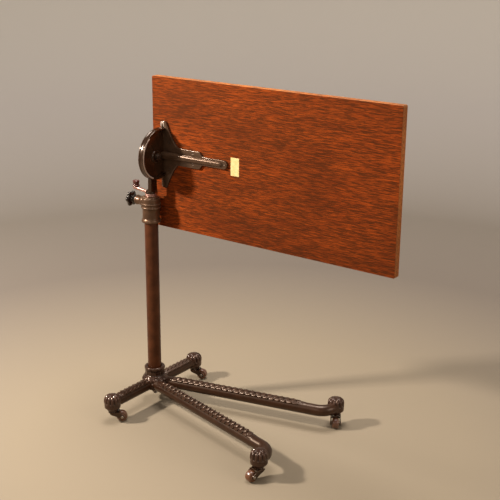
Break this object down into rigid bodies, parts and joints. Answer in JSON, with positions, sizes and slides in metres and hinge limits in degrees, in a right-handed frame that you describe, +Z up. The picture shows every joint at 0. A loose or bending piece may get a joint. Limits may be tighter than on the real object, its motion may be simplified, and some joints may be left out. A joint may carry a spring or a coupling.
{
  "type": "tilting reading table",
  "caption": "Reading table on a castered iron base: a telescopic column at one end carries a wooden board on a friction tilt bracket, with a clamp knob and a lock lever.",
  "frame": {"origin": "on the floor, under the middle of the bounding box", "axes": "+Z up; +X from the column towards the far end of the board; +Y the side that the reading face looks to at rest"},
  "size_m": [0.82, 0.428, 0.9365],
  "materials": {
    "iron": "bronzed black enamel, worn to warm brown on the edges",
    "steel": "plain steel, slightly darkened",
    "brass": "plain brass",
    "knob_black": "moulded black, semi-gloss",
    "grip_maroon": "turned dark red grip, semi-gloss",
    "wheel_wood": "turned hardwood, dark varnish",
    "board_wood": "mahogany, satin varnish",
    "fibre": "pressed fibre washer"
  },
  "bodies": {
    "base": {"base_casting": "iron", "column_tube": "iron", "column_plug": "steel", "foot_washer": "steel", "foot_nut": "iron", "clamp_collar": "iron", "guide_bush": "brass", "caster_near_socket": "steel", "caster_back_socket": "steel", "caster_front_socket": "steel", "caster_right_socket": "steel"},
    "clamp_pad": {"clamp_pad": "brass"},
    "clamp_knob": {"clamp_screw": "steel", "clamp_knob": "knob_black"},
    "post": {"inner_post": "steel", "post_stop_ring": "steel"},
    "head": {"head_casting": "iron", "stem_nut": "steel", "pivot_bolt": "steel", "spring_washer": "steel", "pivot_nut": "steel"},
    "lock_lever": {"lock_lever": "iron", "lever_grip": "grip_maroon"},
    "board": {"tilt_bracket": "iron", "friction_washer": "fibre", "reading_board": "board_wood", "bracket_screw_1": "steel", "bracket_screw_2": "steel", "bracket_screw_3": "steel", "bracket_screw_4": "steel", "bracket_screw_5": "steel"},
    "caster_near": {"caster_near_fork": "iron", "caster_near_axle": "steel"},
    "wheel_near": {"caster_near_wheel": "wheel_wood"},
    "caster_back": {"caster_back_fork": "iron", "caster_back_axle": "steel"},
    "wheel_back": {"caster_back_wheel": "wheel_wood"},
    "caster_front": {"caster_front_fork": "iron", "caster_front_axle": "steel"},
    "wheel_front": {"caster_front_wheel": "wheel_wood"},
    "caster_right": {"caster_right_fork": "iron", "caster_right_axle": "steel"},
    "wheel_right": {"caster_right_wheel": "wheel_wood"}
  },
  "joints": [
    {"name": "clamp_travel", "type": "slide", "parent": "base", "child": "clamp_pad", "axis": [-1, 0, 0], "range_m": [0, 0.0016]},
    {"name": "clamp_turn", "type": "hinge", "parent": "clamp_pad", "child": "clamp_knob", "pos_m": [-0.3315, 0.0089, 0.5945], "axis": [-1, 0, 0], "range_deg": [0, 360]},
    {"name": "post_height", "type": "slide", "parent": "base", "child": "post", "axis": [0, 0, 1], "range_m": [0, 0.3]},
    {"name": "head_swivel", "type": "hinge", "parent": "post", "child": "head", "pos_m": [-0.3315, 0.0089, 0.612], "axis": [0, 0, 1], "range_deg": [-35, 35]},
    {"name": "lock_turn", "type": "hinge", "parent": "head", "child": "lock_lever", "pos_m": [-0.3315, 0.0089, 0.612], "axis": [0, 0, 1], "range_deg": [0, 40]},
    {"name": "board_tilt", "type": "hinge", "parent": "head", "child": "board", "pos_m": [-0.3315, 0.0089, 0.726], "axis": [1, 0, 0], "range_deg": [-2, 182]},
    {"name": "caster_near_swivel", "type": "hinge", "parent": "base", "child": "caster_near", "pos_m": [-0.3315, -0.1695, 0], "axis": [0, 0, 1], "continuous": true},
    {"name": "wheel_near_spin", "type": "hinge", "parent": "caster_near", "child": "wheel_near", "pos_m": [-0.31413, -0.15152, 0.0155], "axis": [-0.7193, 0.6947, 0], "continuous": true},
    {"name": "caster_back_swivel", "type": "hinge", "parent": "base", "child": "caster_back", "pos_m": [-0.3315, 0.1873, 0], "axis": [0, 0, 1], "continuous": true},
    {"name": "wheel_back_spin", "type": "hinge", "parent": "caster_back", "child": "wheel_back", "pos_m": [-0.30903, 0.19826, 0.0155], "axis": [-0.4384, 0.8988, 0], "continuous": true},
    {"name": "caster_front_swivel", "type": "hinge", "parent": "base", "child": "caster_front", "pos_m": [0.1741, -0.1729, 0], "axis": [0, 0, 1], "continuous": true},
    {"name": "wheel_front_spin", "type": "hinge", "parent": "caster_front", "child": "wheel_front", "pos_m": [0.16805, -0.19716, 0.0155], "axis": [0.9703, -0.2419, 0], "continuous": true},
    {"name": "caster_right_swivel", "type": "hinge", "parent": "base", "child": "caster_right", "pos_m": [0.1741, 0.1907, 0], "axis": [0, 0, 1], "continuous": true},
    {"name": "wheel_right_spin", "type": "hinge", "parent": "caster_right", "child": "wheel_right", "pos_m": [0.18735, 0.1695, 0.0155], "axis": [0.848, 0.5299, 0], "continuous": true}
  ],
  "couplings": [
    {"joint": "clamp_travel", "follows": "clamp_turn", "m_per_rad": 0.00023873}
  ]
}
